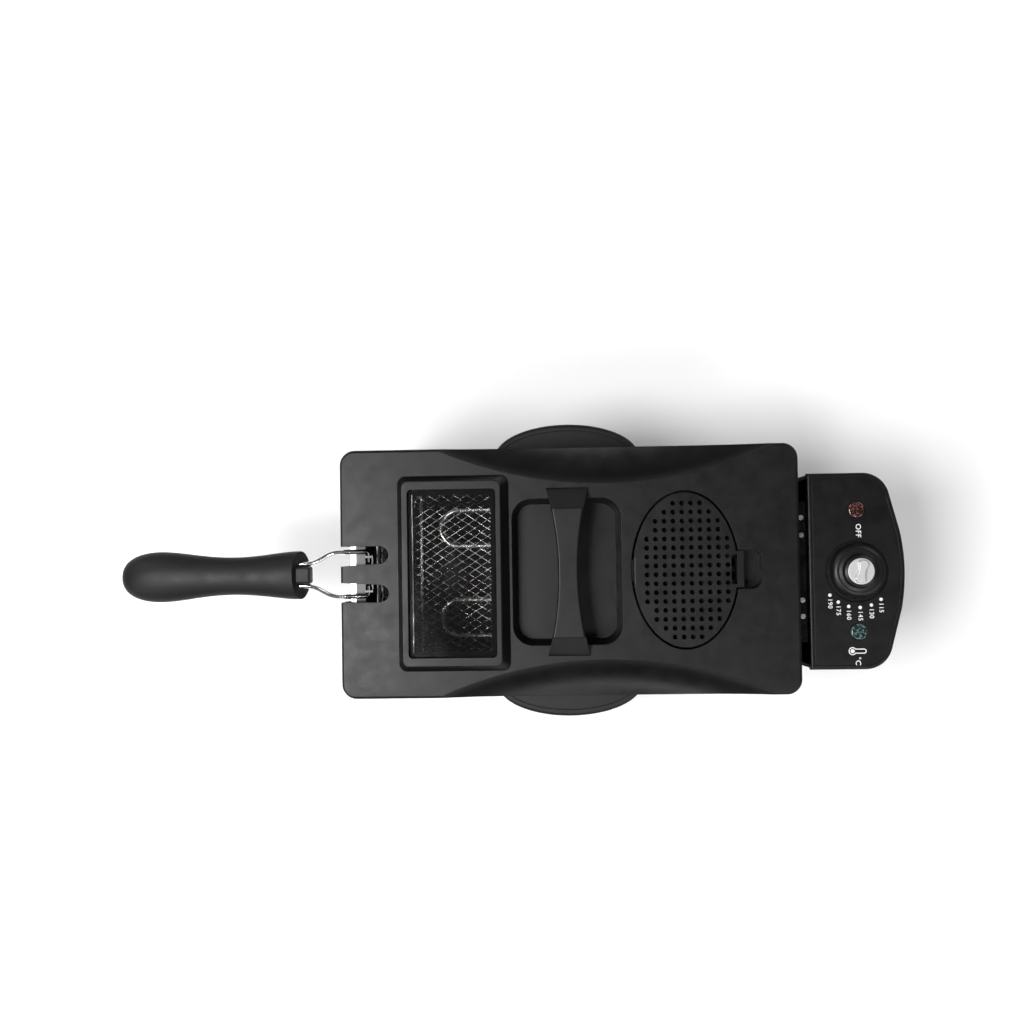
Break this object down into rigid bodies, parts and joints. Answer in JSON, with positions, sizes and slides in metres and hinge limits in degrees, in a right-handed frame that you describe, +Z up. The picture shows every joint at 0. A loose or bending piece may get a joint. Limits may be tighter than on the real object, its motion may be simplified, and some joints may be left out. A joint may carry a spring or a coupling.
{
  "type": "deep fryer",
  "caption": "Cold-zone deep fryer with lift-off windowed lid, wire basket with fork handle, enamel oil container and removable control unit carrying the element and thermostat dial.",
  "frame": {"origin": "on the table, midway between the tip of the basket handle and the rear of the control unit, on the housing's centre line", "axes": "+X points to the rear, where the control unit hangs, -X to the front and the basket handle, +Z up"},
  "size_m": [0.5814, 0.228, 0.221],
  "materials": {
    "stainless_sheet": "brushed lengthwise",
    "black_plastic": "fine matt texture",
    "lid_plastic": "fine matt texture",
    "panel_plastic": "fine matt texture",
    "handle_plastic": "satin",
    "grip_plastic": "satin, a little scuffed",
    "knob_plastic": "satin",
    "inner_plastic": "plain",
    "foot_rubber": "plain",
    "gasket_rubber": "plain",
    "zinc_screw": "bright plated",
    "enamel": "gloss enamel",
    "basket_wire": "tinned wire",
    "chrome_wire": "polished chrome",
    "element_steel": "heat-darkened",
    "red_lens": "translucent",
    "green_lens": "translucent",
    "red_button": "gloss",
    "silver_cap": "satin silver",
    "clear_window": "clear",
    "filter_felt": "felt"
  },
  "bodies": {
    "housing": {"housing_shell": "stainless_sheet", "base_tray": "black_plastic", "rubber_feet": "foot_rubber", "foot_screws": "zinc_screw", "carry_grip_left": "black_plastic", "carry_grip_right": "black_plastic", "grip_screws": "zinc_screw", "unit_guide_rails": "stainless_sheet", "interlock_pin": "black_plastic"},
    "container": {"oil_container": "enamel"},
    "basket": {"basket_mesh": "basket_wire", "basket_rim": "basket_wire", "basket_supports": "basket_wire", "handle_bracket": "stainless_sheet", "drain_hook": "basket_wire"},
    "basket_handle": {"handle_wires": "chrome_wire", "handle_end_block": "grip_plastic", "handle_grip": "grip_plastic"},
    "control_unit": {"control_body": "black_plastic", "control_panel": "panel_plastic", "neck_cover": "black_plastic", "neck_screws": "zinc_screw", "element_cover": "stainless_sheet", "heating_element": "element_steel", "element_straps": "stainless_sheet", "thermostat_bulb": "element_steel", "capillary_tube": "element_steel", "thermostat_body": "inner_plastic", "thermal_cutout": "inner_plastic", "interlock_switch": "inner_plastic", "terminal_block": "inner_plastic", "lamp_holders": "inner_plastic", "lamp_lens_red": "red_lens", "lamp_lens_green": "green_lens", "cord_inlet": "black_plastic", "unit_screws": "zinc_screw"},
    "dial": {"knob": "knob_plastic", "knob_cap": "silver_cap", "knob_shaft": "zinc_screw"},
    "reset": {"reset_button": "red_button"},
    "lid": {"lid_shell": "lid_plastic", "window_gasket": "gasket_rubber", "window_pane": "clear_window", "lid_handle": "handle_plastic", "handle_screws": "zinc_screw", "filter_holder": "black_plastic", "filter_pad": "filter_felt"},
    "filter_door": {"filter_cover": "lid_plastic"}
  },
  "joints": [
    {"name": "lid_lift", "type": "slide", "parent": "housing", "child": "lid", "axis": [0, 0, 1], "range_m": [0, 0.56]},
    {"name": "basket_lift", "type": "slide", "parent": "housing", "child": "basket", "axis": [0, 0, 1], "range_m": [0, 0.336]},
    {"name": "control_unit_lift", "type": "slide", "parent": "housing", "child": "control_unit", "axis": [0, 0, 1], "range_m": [0, 0.3248]},
    {"name": "container_lift", "type": "slide", "parent": "housing", "child": "container", "axis": [0, 0, 1], "range_m": [0, 0.1792]},
    {"name": "handle_fold", "type": "hinge", "parent": "basket", "child": "basket_handle", "pos_m": [-0.10535, 0, 0.191], "axis": [0, 1, 0], "range_deg": [0, 92]},
    {"name": "filter_cover_open", "type": "hinge", "parent": "lid", "child": "filter_door", "pos_m": [0.09185, 0, 0.2035], "axis": [0, -1, 0], "range_deg": [0, 50]},
    {"name": "knob_turn", "type": "hinge", "parent": "control_unit", "child": "dial", "pos_m": [0.25585, -0.003, 0.19], "axis": [0, 0, -1], "range_deg": [0, 229]},
    {"name": "reset_press", "type": "slide", "parent": "control_unit", "child": "reset", "axis": [-1, 0, 0], "range_m": [0, 0.0018], "stiffness_N_per_m": 300}
  ],
  "couplings": [
    {"joint": "basket_lift", "follows": "lid_lift", "ratio": 0.6},
    {"joint": "control_unit_lift", "follows": "lid_lift", "ratio": 0.58},
    {"joint": "container_lift", "follows": "lid_lift", "ratio": 0.32}
  ]
}
